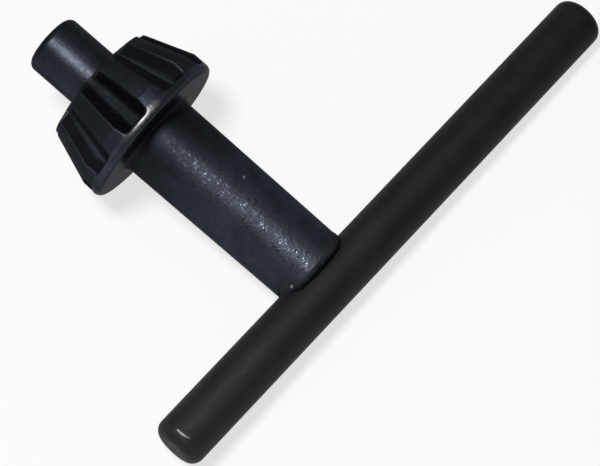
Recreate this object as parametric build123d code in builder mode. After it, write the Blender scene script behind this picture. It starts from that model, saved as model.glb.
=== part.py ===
"""Drill chuck key: a toothed key body with a round cross bar welded across its end.

Millimetres, +Z up. The key lies on the plane Z = 0 as it comes to rest: on the back edge of its
toothed head, on the weld ring at the end of its shank, and on the end of the bar's long arm.
So the pilot points a little upwards, and the bar leans a little down to its long end.
The cross bar runs along X, with its long arm towards +X, and the pilot points towards +Y.
The origin is at the middle of the key's box, on the surface that it lies on.
"""

from build123d import *
from math import acos, asin, atan2, cos, degrees, hypot, radians, sin, sqrt, tan
import os

# Cross bar
bar_diameter = 6.8
bar_short_arm = 28.5            # from the shank's axis to the near end
bar_long_arm = 50.3             # from the shank's axis to the far end
bar_lean_angle = 1.5            # that the weld leaves the bar off square, long arm away from the pilot
bar_end_round = 1.5

# Shank
shank_diameter = 10.5           # where it meets the cross bar
shank_head_diameter = 11.0      # where it meets the head
shank_end_distance = 2.6        # from the bar's axis to the flat end that is pressed onto the bar
shank_neck_round = 0.8          # fillet between the shank and the back of the head

# Toothed head
head_back_distance = 28.7       # from the bar's axis to the head's back face
head_diameter = 21.3
head_back_round = 0.8
rim_width = 2.9                 # widest part of the head, back round and collar included
collar_width = 1.15             # full ring behind the tooth gaps
tip_cone_length = 6.4
tip_cone_angle = 20.0           # between the tooth tips and the axis
front_step = 0.5                # how far the tooth fronts stand behind the hub's front face
hub_diameter = 12.4

# Teeth
tooth_count = 9
tooth_edge_round = 0.25
gap_depth = 1.8                 # from the head's largest diameter, where the gaps end
gap_floor_width = 1.5           # where the gaps end at the collar
gap_tip_angle = 23.5            # of the full turn, at the head's largest diameter
gap_corner_round = 0.5
gap_end_round = 0.7             # left by the tool that ends the gap at the collar

# Pilot
pilot_diameter = 8.0
pilot_length = 8.0
pilot_end_round = 1.0
pilot_root_round = 0.4

# Ring of metal squeezed out where the shank is welded onto the bar
weld_height = 0.2               # that the ring stands out from the shank
weld_front_distance = 4.5       # from the bar's axis to the ring's edge on the shank
weld_back_distance = 2.1        # from the bar's axis to the ring's edge over the bar
weld_seat_diameter = 8.0        # inner edge of the ring, under the shank's end
weld_round = 0.18

# Distances along the key's axis, from the bar's axis
rim_front = head_back_distance + rim_width
tooth_front = rim_front + tip_cone_length
hub_front = tooth_front + front_step
pilot_tip = hub_front + pilot_length
collar_front = head_back_distance + collar_width

# Radii
bar_radius = bar_diameter / 2
head_radius = head_diameter / 2
pilot_radius = pilot_diameter / 2
weld_radius = shank_diameter / 2 + weld_height
tooth_front_radius = head_radius - tip_cone_length * tan(radians(tip_cone_angle))

# The key rests on two rounded edges of its body, the head's back edge and the weld ring's. The
# pitch is the angle at which both are equally low, so it lifts the pilot.
head_edge_radius = head_radius - head_back_round
head_edge_distance = head_back_distance + head_back_round
weld_edge_radius = weld_radius - weld_round
weld_edge_distance = weld_back_distance + weld_round
edge_gap = head_edge_distance - weld_edge_distance
edge_step = head_edge_radius - weld_edge_radius
pitch = acos((weld_round - head_back_round) / hypot(edge_gap, edge_step)) - atan2(edge_gap, edge_step)
bar_height = weld_edge_radius * cos(pitch) - weld_edge_distance * sin(pitch) + weld_round

# It also turns about its own axis until the end of the long arm meets the surface.
arm_end = bar_long_arm - bar_end_round
bar_edge_radius = bar_radius - bar_end_round
arm_slope = asin((bar_height - bar_end_round) / hypot(arm_end, bar_edge_radius))
arm_slope -= atan2(bar_edge_radius, arm_end)
lean = radians(bar_lean_angle)
roll = asin((sin(arm_slope) - sin(lean) * sin(pitch)) / (cos(lean) * cos(pitch)))

# Directions of the pilot, square to it, and of the long arm, as the key rests
pilot_direction = Vector(0, cos(pitch), sin(pitch))
square_direction = Vector(cos(roll), sin(roll) * sin(pitch), -sin(roll) * cos(pitch))
arm_direction = square_direction * cos(lean) - pilot_direction * sin(lean)

# Reach in front of and behind the middle of the bar, which centres the key on the origin
front_reach = (
    (pilot_tip - pilot_end_round) * cos(pitch)
    + (pilot_radius - pilot_end_round) * sin(pitch)
    + pilot_end_round
)
back_reach = (
    max((bar_short_arm - bar_end_round) * arm_direction.Y, -arm_end * arm_direction.Y)
    + bar_edge_radius * sqrt(1 - arm_direction.Y**2)
    + bar_end_round
)
key_origin = Vector(
    (bar_short_arm - bar_long_arm) / 2 * arm_direction.X,
    (back_reach - front_reach) / 2,
    bar_height,
)

# The key's own frame has its Z axis along the shank and its X axis on the short arm's side.
key_frame = Plane(origin=key_origin, x_dir=-square_direction, z_dir=pilot_direction)
key_axis = Axis(key_origin, pilot_direction)
profile_plane = Plane(origin=key_origin, x_dir=key_frame.y_dir, z_dir=key_frame.x_dir)
bar_frame = Plane(
    origin=key_origin - arm_direction * bar_short_arm, x_dir=key_frame.y_dir, z_dir=arm_direction
)


# Cross bar: a plain round rod with rounded ends
with BuildPart() as cross_bar:
    with BuildSketch(bar_frame):
        Circle(bar_radius)
    extrude(amount=bar_short_arm + bar_long_arm)
    fillet(cross_bar.edges().filter_by(GeomType.CIRCLE), radius=bar_end_round)


# One gap between two teeth, along +X of a frame whose Z axis is the key's axis. Its floor and
# sides all point at the apex of the tooth-tip cone, so the teeth taper towards the pilot.
apex_distance = rim_front + head_radius / tan(radians(tip_cone_angle))
gap_root_radius = head_radius - gap_depth
gap_tip_width = 2 * head_radius * sin(radians(gap_tip_angle / 2))
gap_side_slope = (gap_tip_width - gap_floor_width) / 2 / (head_radius - gap_root_radius)
gap_reach = 1.3 * head_radius
gap_mouth_width = gap_floor_width + 2 * gap_side_slope * (gap_reach - gap_root_radius)
gap_front = hub_front + front_step


def gap_section(distance):
    """Outline of the gap across the key's axis, narrowing towards the apex."""
    taper = (apex_distance - distance) / (apex_distance - collar_front)
    with BuildSketch(Plane.XY.offset(distance)) as section:
        with BuildLine():
            Polyline(
                (gap_root_radius * taper, -gap_floor_width / 2 * taper),
                (gap_reach * taper, -gap_mouth_width / 2 * taper),
                (gap_reach * taper, gap_mouth_width / 2 * taper),
                (gap_root_radius * taper, gap_floor_width / 2 * taper),
                close=True,
            )
        make_face()
    return section.sketch


with BuildPart() as tooth_gap:
    loft([gap_section(collar_front), gap_section(gap_front)], ruled=True)
    floor = tooth_gap.faces().sort_by(Axis.X)[0]
    fillet(floor.edges().sort_by(Axis.Z)[0], radius=gap_end_round)
    side_edges = tooth_gap.edges().filter_by(lambda edge: edge.length > tip_cone_length)
    fillet(side_edges.group_by(Axis.X)[0], radius=gap_corner_round)


def is_tooth_edge(edge, tolerance=0.01):
    """True for an edge on the outer surface of the teeth, in front of the uncut collar.

    The straight line where a turned surface closes on itself is no real edge.
    """
    if edge.geom_type == GeomType.LINE:
        return False
    point = key_frame.to_local_coords(edge.position_at(0.5))
    cone_radius = tooth_front_radius + (tooth_front - point.Z) * tan(radians(tip_cone_angle))
    is_outside = abs(hypot(point.X, point.Y) - min(cone_radius, head_radius)) < tolerance
    return is_outside and collar_front - tolerance < point.Z < tooth_front + tolerance


# Key body: pilot, toothed head and shank, forged and turned as one piece
with BuildPart() as key_body:
    with BuildSketch(profile_plane):
        with BuildLine():
            Polyline(
                (0, shank_end_distance),
                (shank_diameter / 2, shank_end_distance),
                (shank_head_diameter / 2, head_back_distance),
                (head_radius, head_back_distance),
                (head_radius, rim_front),
                (tooth_front_radius, tooth_front),
                (hub_diameter / 2, hub_front),
                (pilot_radius, hub_front),
                (pilot_radius, pilot_tip),
                (0, pilot_tip),
                close=True,
            )
        make_face()
        for across, along, corner_round in (
            (shank_head_diameter / 2, head_back_distance, shank_neck_round),
            (head_radius, head_back_distance, head_back_round),
            (pilot_radius, hub_front, pilot_root_round),
            (pilot_radius, pilot_tip, pilot_end_round),
        ):
            corner = vertices().sort_by_distance(Vector(across, along))[0]
            fillet(corner, radius=corner_round)
    revolve(axis=key_axis)
    with Locations(key_frame):
        with PolarLocations(0, tooth_count, start_angle=90 + 180 / tooth_count):
            add(tooth_gap.part, mode=Mode.SUBTRACT)
    add(cross_bar.part, mode=Mode.SUBTRACT)
    fillet(key_body.edges().filter_by(is_tooth_edge), radius=tooth_edge_round)


# Weld bead: squeezed-out ring that fills the corner between the shank's end and the bar
with BuildPart() as weld_bead:
    with BuildSketch(profile_plane):
        with BuildLine():
            Polyline(
                (weld_seat_diameter / 2, weld_back_distance),
                (weld_radius, weld_back_distance),
                (weld_radius, weld_front_distance),
                (weld_seat_diameter / 2, weld_front_distance),
                close=True,
            )
        make_face()
        fillet(vertices().group_by(Axis.X)[-1], radius=weld_round)
    revolve(axis=key_axis)
    add(cross_bar.part, mode=Mode.SUBTRACT)
    add(key_body.part, mode=Mode.SUBTRACT)


key_body.part.label = "key_body"
cross_bar.part.label = "cross_bar"
weld_bead.part.label = "weld_bead"

os.makedirs("parts", exist_ok=True)
export_step(key_body.part, "parts/key_body.step")
export_step(cross_bar.part, "parts/cross_bar.step")
export_step(weld_bead.part, "parts/weld_bead.step")

print("pitch", round(degrees(pitch), 3), "roll", round(degrees(roll), 3))
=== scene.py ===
"""Looks, light and camera for the drill chuck key. Metres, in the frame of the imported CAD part."""

import math

import bmesh
import bpy
from mathutils import Matrix, Vector, noise


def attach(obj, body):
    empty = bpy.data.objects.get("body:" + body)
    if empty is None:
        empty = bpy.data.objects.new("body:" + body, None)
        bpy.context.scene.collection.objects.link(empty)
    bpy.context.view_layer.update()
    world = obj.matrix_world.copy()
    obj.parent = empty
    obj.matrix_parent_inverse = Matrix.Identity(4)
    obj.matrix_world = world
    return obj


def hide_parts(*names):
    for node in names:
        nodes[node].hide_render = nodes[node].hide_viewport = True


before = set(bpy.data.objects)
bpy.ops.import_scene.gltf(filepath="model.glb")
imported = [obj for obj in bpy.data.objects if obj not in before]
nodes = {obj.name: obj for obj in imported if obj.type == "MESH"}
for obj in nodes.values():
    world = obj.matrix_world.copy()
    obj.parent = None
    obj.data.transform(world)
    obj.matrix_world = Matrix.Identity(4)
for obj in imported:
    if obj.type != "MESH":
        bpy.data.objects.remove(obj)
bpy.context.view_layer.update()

MM = 0.001
scene = bpy.context.scene

# The key's own frame, as part.py lays the key down: Z along the shank, X along the short arm.
key_origin = Vector((-10.8923, -20.9224, 4.9273)) * MM
pilot_direction = Vector((0.0, 0.982162, 0.188035))
arm_direction = Vector((0.999296, -0.020657, -0.031316))
key_x = -Vector((0.999639, 0.005055, -0.026403))
key_y = pilot_direction.cross(key_x)
key_matrix = Matrix((key_x, key_y, pilot_direction)).transposed().to_4x4()
key_matrix.translation = key_origin

# Distances along the key's axis from the bar's axis, and radii, in millimetres as in part.py
SHANK_END = 2.6
SHANK_RADIUS = 5.25
SHANK_TAPER = 0.0096  # that the radius grows per millimetre towards the head
COLLAR_FRONT = 29.85
RIM_FRONT = 31.6
TOOTH_FRONT = 38.0
HEAD_RADIUS = 10.65
TOOTH_FRONT_RADIUS = 8.32


# Materials

def new_material(name):
    """A material with a Principled shader. Returns it, its tree and the shader."""
    material = bpy.data.materials.new(name)
    material.use_nodes = True
    tree = material.node_tree
    return material, tree, tree.nodes["Principled BSDF"]


def add_node(tree, kind, values=None, **settings):
    """Adds a node. Values are set on its inputs, and an output among them is linked."""
    node = tree.nodes.new(kind)
    for key, value in settings.items():
        setattr(node, key, value)
    for key, value in (values or {}).items():
        if isinstance(value, bpy.types.NodeSocket):
            tree.links.new(value, node.inputs[key])
        else:
            node.inputs[key].default_value = value
    return node


def key_coordinates(tree):
    """Millimetres in the key's own frame."""
    place = add_node(tree, "ShaderNodeTexCoord").outputs["Object"]
    mapping = add_node(
        tree,
        "ShaderNodeMapping",
        {
            "Vector": place,
            "Location": key_origin,
            "Rotation": key_matrix.to_euler(),
            "Scale": (MM, MM, MM),
        },
        vector_type="TEXTURE",
    )
    return mapping.outputs["Vector"]


def distance_value(tree, place, centre):
    """Distance of a place from a centre."""
    values = {0: place, 1: centre}
    node = add_node(tree, "ShaderNodeVectorMath", values, operation="DISTANCE")
    return node.outputs["Value"]


def flattened(tree, place):
    """A place in the key's frame, moved along the key's axis to Z = 0."""
    values = {0: place, 1: (1.0, 1.0, 0.0)}
    node = add_node(tree, "ShaderNodeVectorMath", values, operation="MULTIPLY")
    return node.outputs["Vector"]


def noise_value(tree, place, scale, detail=3.0, roughness=0.55, distortion=0.0):
    values = {
        "Vector": place,
        "Scale": scale,
        "Detail": detail,
        "Roughness": roughness,
        "Distortion": distortion,
    }
    return add_node(tree, "ShaderNodeTexNoise", values).outputs["Fac"]


def ramp(tree, value, low, high, to_low=0.0, to_high=1.0, smooth=True):
    """Maps low..high of a value to to_low..to_high."""
    values = {
        "Value": value,
        "From Min": low,
        "From Max": high,
        "To Min": to_low,
        "To Max": to_high,
    }
    kind = "SMOOTHSTEP" if smooth else "LINEAR"
    node = add_node(tree, "ShaderNodeMapRange", values, interpolation_type=kind)
    return node.outputs["Result"]


def math_value(tree, operation, first, second):
    node = add_node(tree, "ShaderNodeMath", {0: first, 1: second}, operation=operation)
    return node.outputs["Value"]


def mix_colour(tree, factor, first, second):
    node = tree.nodes.new("ShaderNodeMix")
    node.data_type = "RGBA"
    tree.links.new(factor, node.inputs["Factor"])
    for socket, value in ((node.inputs[6], first), (node.inputs[7], second)):
        if isinstance(value, bpy.types.NodeSocket):
            tree.links.new(value, socket)
        else:
            socket.default_value = (*value, 1.0)
    return node.outputs[2]


def along(tree, place, axis, low, high, stops):
    """A value that follows (millimetres, value) stops along an axis of the key's frame."""
    split = add_node(tree, "ShaderNodeSeparateXYZ", {"Vector": place})
    share = ramp(tree, split.outputs[axis], low, high, smooth=False)
    node = add_node(tree, "ShaderNodeValToRGB", {"Fac": share})
    elements = node.color_ramp.elements
    while len(elements) < len(stops):
        elements.new(0.5)
    for element, (distance, value) in zip(elements, stops):
        element.position = (distance - low) / (high - low)
        element.color = (value, value, value, 1.0)
    return node.outputs["Color"]


def spotted(tree, place, colour, spots):
    """Adds small bright spots, mostly painted highlights: (x, y, z, radius, brightness), in
    millimetres.
    """
    for x, y, z, radius, brightness in spots:
        distance = distance_value(tree, place, (x, y, z))
        inside = ramp(tree, distance, 0.4 * radius, radius, 1.0, 0.0)
        colour = mix_colour(tree, inside, colour, (brightness, brightness, 1.05 * brightness))
    return colour


def scaled_colour(tree, colour, factor):
    """A colour times a value."""
    node = add_node(tree, "ShaderNodeVectorMath", {0: colour}, operation="SCALE")
    tree.links.new(factor, node.inputs["Scale"])
    return node.outputs["Vector"]


def add_bump(tree, height, distance, normal=None):
    values = {"Strength": 1.0, "Distance": distance * MM, "Height": height}
    if normal:
        values["Normal"] = normal
    return add_node(tree, "ShaderNodeBump", values).outputs["Normal"]


def gap_sides(tree, place):
    """1 on the sides of the tooth gaps, half that on their floors, and 0 everywhere else. Shade is
    painted there.
    """
    height = add_node(tree, "ShaderNodeSeparateXYZ", {"Vector": place}).outputs["Z"]
    radius = distance_value(tree, flattened(tree, place), (0.0, 0.0, 0.0))
    tips = ramp(
        tree, height, RIM_FRONT, TOOTH_FRONT, HEAD_RADIUS, TOOTH_FRONT_RADIUS, smooth=False
    )
    depth = math_value(tree, "SUBTRACT", tips, radius)
    below_tips = ramp(tree, depth, 0.02, 0.4)
    above_floor = ramp(tree, depth, 1.3, 1.9, 1.0, 0.5)
    side = math_value(tree, "MULTIPLY", below_tips, above_floor)
    before_collar = ramp(tree, height, COLLAR_FRONT, COLLAR_FRONT + 0.25)
    behind_front = ramp(tree, height, TOOTH_FRONT - 0.15, TOOTH_FRONT - 0.05, 1.0, 0.0)
    in_teeth = math_value(tree, "MULTIPLY", before_collar, behind_front)
    return math_value(tree, "MULTIPLY", side, in_teeth)


def sparkle_band(tree, place):
    """1 along the line on the shank where the finish is coarse enough to sparkle, else weak."""
    away = distance_value(tree, flattened(tree, place), (1.45, 5.25, 0.0))
    return ramp(tree, away, 0.7, 2.3, 1.0, 0.12)


def black_oxide(
    name, dark, light, axis, reach, roughness, strength, grain, edge, metallic, spots=()
):
    """Blackened steel: a dark metal whose sheen stays weak at a low angle, cloudy and pitted.

    roughness, strength and grain are stops along an axis of the key's frame. strength scales
    the colour, and grain the smooth facets and the bumps. The gaps and the line that sparkles
    belong to the turned body, whose axis is Z.
    """
    strength_gain = 3.4
    is_turned = axis == "Z"
    material, tree, shader = new_material(name)
    place = key_coordinates(tree)
    clouds = noise_value(tree, place, 0.22, detail=4.0, roughness=0.6, distortion=0.4)
    specks = noise_value(tree, place, 2.2, detail=3.0, roughness=0.65)
    shade = ramp(tree, clouds, 0.3, 0.7, 0.0, 0.6)
    shade = math_value(tree, "ADD", shade, ramp(tree, specks, 0.35, 0.7, 0.0, 0.4))
    colour = mix_colour(tree, shade, dark, light)
    gain = math_value(tree, "MULTIPLY", along(tree, place, axis, *reach, strength), strength_gain)
    colour = scaled_colour(tree, colour, gain)
    if is_turned:
        # Painted shade: the colour falls to 0.3 of itself on the gaps' sides and 0.65 on their
        # floors
        sides = gap_sides(tree, place)
        colour = scaled_colour(tree, colour, ramp(tree, sides, 0.0, 1.0, 1.0, 0.3, smooth=False))
    # Small bright spots, mostly painted highlights, are mixed into the colour
    colour = spotted(tree, place, colour, spots)
    tree.links.new(colour, shader.inputs["Base Color"])
    shader.inputs["Metallic"].default_value = metallic
    shader.inputs["Specular IOR Level"].default_value = 0.3
    shader.inputs["Specular Tint"].default_value = (edge, edge, edge, 1.0)

    # Small smooth facets among rougher ones, which sparkle where the light is right
    facets = noise_value(tree, place, 1.9, detail=2.0, roughness=0.5)
    amount = along(tree, place, axis, *reach, grain)
    if is_turned:
        amount = math_value(tree, "MULTIPLY", amount, sparkle_band(tree, place))
    smoother = math_value(tree, "MULTIPLY", ramp(tree, facets, 0.5, 0.64, 0.0, -0.3), amount)
    rough = math_value(tree, "ADD", along(tree, place, axis, *reach, roughness), smoother)
    if is_turned:
        rough = math_value(tree, "ADD", rough, math_value(tree, "MULTIPLY", sides, 0.25))
    tree.links.new(rough, shader.inputs["Roughness"])

    # Round pits in some places only, a grain over everything, and long shallow waves
    cells = add_node(tree, "ShaderNodeTexVoronoi", {"Vector": place, "Scale": 2.4})
    pit = ramp(tree, cells.outputs["Distance"], 0.12, 0.42, -1.0, 0.0)
    chosen = ramp(tree, noise_value(tree, place, 0.6, detail=1.0), 0.42, 0.6)
    normal = add_bump(tree, math_value(tree, "MULTIPLY", pit, chosen), 0.01)
    coarse = noise_value(tree, place, 2.3, detail=2.0, roughness=0.6)
    normal = add_bump(tree, math_value(tree, "MULTIPLY", coarse, amount), 0.055, normal)
    fine = noise_value(tree, place, 5.0, detail=2.0, roughness=0.6)
    normal = add_bump(tree, fine, 0.006, normal)
    waves = noise_value(tree, place, 0.35, detail=1.0)
    normal = add_bump(tree, waves, 0.03, normal)
    tree.links.new(normal, shader.inputs["Normal"])
    return material


# Painted highlight spots on the collar's edge: the angle round the key's axis in degrees, and
# brightness
collar_painted_highlight = [
    (
        HEAD_RADIUS * math.cos(math.radians(angle)),
        HEAD_RADIUS * math.sin(math.radians(angle)),
        29.62,
        0.75,
        brightness,
    )
    for angle, brightness in (
        (58.0, 0.07), (63.0, 0.1), (68.0, 0.14), (73.0, 0.17), (78.0, 0.15), (83.0, 0.12),
        (88.0, 0.08),
    )
]
body_material = black_oxide(
    "black_oxide_body",
    dark=(0.0195, 0.0222, 0.029),
    light=(0.036, 0.0415, 0.0545),
    axis="Z",
    reach=(0.0, 48.0),
    roughness=(
        (0.0, 0.5), (10.0, 0.52), (24.0, 0.56), (28.4, 0.5), (28.8, 0.37), (29.8, 0.36),
        (30.2, 0.44), (38.0, 0.44), (39.0, 0.41),
    ),
    strength=(
        (0.0, 0.46), (8.0, 0.42), (18.0, 0.36), (25.0, 0.2), (28.5, 0.18), (28.8, 0.42),
        (29.8, 0.42), (30.1, 0.25), (37.5, 0.25), (39.0, 0.30),
    ),
    grain=(
        (0.0, 1.0), (22.0, 1.0), (25.0, 0.35), (28.5, 0.1), (38.0, 0.1), (39.0, 0.3),
    ),
    edge=0.32,
    metallic=0.85,
    # A small light speck on the shank, and the painted highlight on the collar's edge
    spots=[(-1.68, 5.11, 16.36, 0.24, 0.36)] + collar_painted_highlight,
)
bar_material = black_oxide(
    "black_oxide_bar",
    dark=(0.021, 0.021, 0.021),
    light=(0.033, 0.033, 0.034),
    axis="X",
    reach=(-52.0, 30.0),
    roughness=((-52.0, 0.64), (30.0, 0.6)),
    strength=((-52.0, 0.15), (-20.0, 0.175), (30.0, 0.28)),
    grain=((-52.0, 0.1), (30.0, 0.1)),
    edge=0.6,
    metallic=0.5,
    # Painted highlight: a row of bright spots along the rim of the short arm's end
    spots=(
        (27.06, 3.24, 1.73, 0.19, 0.3), (27.1, 3.31, 1.5, 0.19, 0.26),
        (27.11, 3.36, 1.22, 0.21, 0.3), (27.1, 3.38, 0.92, 0.21, 0.3),
        (27.07, 3.39, 0.62, 0.19, 0.26), (27.0, 3.37, 0.35, 0.16, 0.26),
        (26.92, 3.34, 0.11, 0.12, 0.26),
    ),
)
weld_material = black_oxide(
    "black_oxide_weld",
    dark=(0.0195, 0.0215, 0.0265),
    light=(0.036, 0.040, 0.050),
    axis="Z",
    reach=(0.0, 48.0),
    roughness=((0.0, 0.55), (48.0, 0.52)),
    # Painted shade: the colour is darker below 2 mm, at the weld's toe against the bar, which draws
    # the dark crease there
    strength=((0.0, 0.16), (1.8, 0.18), (2.1, 0.36), (2.9, 0.42), (4.0, 0.45), (48.0, 0.45)),
    grain=((0.0, 0.8), (48.0, 0.8)),
    edge=0.32,
    metallic=0.85,
    # Painted highlight: a small bright glint on one of the weld's lumps
    spots=((4.4, 3.21, 3.13, 0.34, 0.36),),
)
for node_name, material in (("key_body", body_material), ("cross_bar", bar_material)):
    for material_slot in nodes[node_name].material_slots:
        material_slot.material = material


# The mesh of a turned surface is open along one line, and merging its edges hides that line.
for node_name in ("key_body", "cross_bar"):
    seam = nodes[node_name].modifiers.new("closed_seam", "WELD")
    seam.merge_threshold = 0.002 * MM


# Weld bead: a lumpy ring squeezed out between the shank's end and the bar

# Lumpy places round the shank: the middle and the half width in degrees, and the height
WELD_CORNERS = ((30.0, 34.0, 1.0), (158.0, 20.0, 1.0), (215.0, 40.0, 0.7), (325.0, 35.0, 0.6))


def lump(angle, step, seed):
    """Smooth random value from -1 to 1 round the ring."""
    place = Vector((math.cos(angle) / step, math.sin(angle) / step, seed))
    return noise.noise(place * 2.0)


def bump_at(angle, centre, width):
    """1 at a place round the ring, falling to 0 at a width from it, both in degrees."""
    turn = abs((math.degrees(angle) - centre + 180.0) % 360.0 - 180.0)
    return max(0.0, 1.0 - (turn / width) ** 2) ** 2


def make_weld():
    """A slim skin that rounds the shank's end off onto the bar, with lumps at its corners."""
    around, across = 288, 24
    bar_side = 2.94  # from the plane through the key's and the bar's axes, where the skin ends
    mesh = bpy.data.meshes.new("weld_lumps")
    bm = bmesh.new()
    rings = []
    for i in range(around):
        angle = 2 * math.pi * i / around
        corner = sum(high * bump_at(angle, middle, wide) for middle, wide, high in WELD_CORNERS)
        front = 3.9 + 0.4 * corner + 0.25 * lump(angle, 0.4, 3.1)
        back = 2.2 + 0.06 * lump(angle, 0.4, 11.3)
        # Where the shank's end reaches past the bar's side, the metal runs on down to the bar
        touch = bar_side / max(0.2, abs(math.sin(angle)))
        overhang = max(0.0, SHANK_RADIUS - touch)
        run = min(1.0, overhang / 0.8)
        run = run * run * (3.0 - 2.0 * run)
        back -= (0.5 + 0.08 * lump(angle, 0.25, 7.7)) * run
        bulge = 0.008 + 0.006 * lump(angle, 0.3, 1.9)
        bulge += corner * (0.06 + 0.07 * lump(angle, 0.12, 5.3))
        ring = []
        for j in range(across):
            t = j / (across - 1)
            along_shank = back + (front - back) * t
            rise = min(1.0, t / 0.3, (1.0 - t) / 0.6)
            crown = math.sin(math.pi / 2 * max(rise, 0.0))
            skin = SHANK_RADIUS + SHANK_TAPER * (along_shank - SHANK_END)
            end_round = (0.4 + 0.95 * overhang * run) * (1.0 - min(1.0, t / 0.4)) ** 2
            radius = skin - end_round - 0.02 * (1.0 - crown) + bulge * crown
            if t in (0.0, 1.0):
                radius -= 0.5  # both edges lie hidden in the steel
            place = Vector(
                (radius * math.cos(angle), radius * math.sin(angle), along_shank)
            )
            rough = noise.noise(place * 1.9) * (0.01 + 0.08 * min(corner, 1.0)) * crown
            place.x += rough * math.cos(angle)
            place.y += rough * math.sin(angle)
            ring.append(bm.verts.new(place * MM))
        rings.append(ring)
    for i in range(around):
        one, two = rings[i], rings[(i + 1) % around]
        for j in range(across - 1):
            bm.faces.new((one[j], two[j], two[j + 1], one[j + 1]))
        bm.faces.new((one[-1], two[-1], two[0], one[0]))
    bm.normal_update()
    bm.to_mesh(mesh)
    bm.free()
    mesh.transform(key_matrix)
    mesh.update()
    weld = bpy.data.objects.new("weld_lumps", mesh)
    scene.collection.objects.link(weld)
    for polygon in mesh.polygons:
        polygon.use_smooth = True
    mesh.materials.append(weld_material)
    return weld


weld = make_weld()
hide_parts("weld_bead")
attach(weld, "root")


# Floor: a flat disc of white paper, with painted shade that greys it far away, as in a small photo
# tent

def make_floor():
    around = 96
    bm = bmesh.new()
    centre = bm.verts.new((0, 0, 0))
    rings = []
    for radius in (0.2, 0.6, 1.6):
        turns = [2 * math.pi * i / around for i in range(around)]
        rings.append(
            [bm.verts.new((radius * math.cos(a), radius * math.sin(a), 0)) for a in turns]
        )
    for i in range(around):
        k = (i + 1) % around
        bm.faces.new((centre, rings[0][i], rings[0][k]))
        for one, two in zip(rings, rings[1:]):
            bm.faces.new((one[i], two[i], two[k], one[k]))
    mesh = bpy.data.meshes.new("floor")
    bm.to_mesh(mesh)
    bm.free()
    floor = bpy.data.objects.new("floor", mesh)
    scene.collection.objects.link(floor)
    return floor


def floor_material():
    """White paper. Seen directly or mirrored it glows a little, which keeps its shadow soft."""
    glow_share = 0.7
    material, tree, shader = new_material("floor_paper")
    place = add_node(tree, "ShaderNodeTexCoord").outputs["Object"]
    # Painted shade: the paper's colour and its glow fade to grey from 0.12 m to 0.7 m away
    far = ramp(tree, distance_value(tree, place, (0.0, 0.0, 0.0)), 0.12, 0.7)
    colour = mix_colour(tree, far, (0.9, 0.9, 0.9), (0.35, 0.35, 0.35))
    tree.links.new(colour, shader.inputs["Base Color"])
    shader.inputs["Roughness"].default_value = 0.9
    shader.inputs["Specular IOR Level"].default_value = 0.1
    rays = add_node(tree, "ShaderNodeLightPath").outputs
    seen = math_value(tree, "MAXIMUM", rays["Is Camera Ray"], rays["Is Glossy Ray"])
    seen = math_value(tree, "MAXIMUM", seen, rays["Is Transmission Ray"])
    share = math_value(tree, "MULTIPLY", seen, glow_share)
    glow = add_node(tree, "ShaderNodeEmission", {"Strength": 1.0})
    glow_colour = mix_colour(tree, far, (1.0, 1.0, 1.0), (0.45, 0.45, 0.45))
    tree.links.new(glow_colour, glow.inputs["Color"])
    mix = add_node(
        tree,
        "ShaderNodeMixShader",
        {0: share, 1: shader.outputs["BSDF"], 2: glow.outputs["Emission"]},
    )
    tree.links.new(mix.outputs["Shader"], tree.nodes["Material Output"].inputs["Surface"])
    return material


floor = make_floor()
floor.data.materials.append(floor_material())


# Camera, fitted to the photograph's outline

FOCAL_PIXELS = 2400.0
ELEVATION, AZIMUTH, ROLL = 68.522, -48.416, -1.528
SHIFT_X, SHIFT_Y, DISTANCE = 3.587, -6.403, 297.669

elevation, azimuth, roll = (math.radians(a) for a in (ELEVATION, AZIMUTH, ROLL))
back = Vector(
    (
        math.sin(azimuth) * math.cos(elevation),
        -math.cos(azimuth) * math.cos(elevation),
        math.sin(elevation),
    )
)
level_right = Vector((math.cos(azimuth), math.sin(azimuth), 0.0))
level_up = back.cross(level_right)
right = math.cos(roll) * level_right + math.sin(roll) * level_up
up = math.cos(roll) * level_up - math.sin(roll) * level_right
camera_data = bpy.data.cameras.new("camera")
camera_data.sensor_width = 36.0
camera_data.sensor_fit = "HORIZONTAL"
camera_data.lens = FOCAL_PIXELS * 36.0 / 600.0
camera_data.clip_start, camera_data.clip_end = 0.01, 10.0
camera = bpy.data.objects.new("camera", camera_data)
camera_matrix = Matrix((right, up, back)).transposed().to_4x4()
camera_matrix.translation = (
    key_origin + (DISTANCE * back - SHIFT_X * right - SHIFT_Y * up) * MM
)
camera.matrix_world = camera_matrix
scene.collection.objects.link(camera)
scene.camera = camera


# Light: one soft lamp a little to the pilot's side of the camera, a weak wide one low on the
# short arm's side, and a dim room

def add_lamp(name, direction, distance, size, power):
    data = bpy.data.lights.new(name, "AREA")
    data.shape = "DISK"
    data.size = size
    data.energy = power
    lamp = bpy.data.objects.new(name, data)
    scene.collection.objects.link(lamp)
    direction = direction.normalized()
    lamp.location = direction * distance
    lamp.rotation_mode = "QUATERNION"
    lamp.rotation_quaternion = (-direction).to_track_quat("-Z", "Y")


pilot_on_screen = pilot_direction - pilot_direction.dot(back) * back
pilot_on_screen.normalize()
arm_on_screen = arm_direction - arm_direction.dot(back) * back
arm_on_screen.normalize()
tilt = math.radians(18.0)
main_direction = math.cos(tilt) * back + math.sin(tilt) * pilot_on_screen + 0.07 * arm_on_screen
add_lamp("main_lamp", main_direction, distance=0.6, size=0.14, power=3.0)
side_direction = Vector((-arm_on_screen.x, -arm_on_screen.y, 0.3))
add_lamp("side_lamp", side_direction, distance=0.8, size=0.5, power=0.4)

world = bpy.data.worlds.new("room")
world.use_nodes = True
world.node_tree.nodes["Background"].inputs["Color"].default_value = (1.0, 1.0, 1.0, 1.0)
world.node_tree.nodes["Background"].inputs["Strength"].default_value = 0.16
scene.world = world

scene.view_settings.view_transform = "Standard"
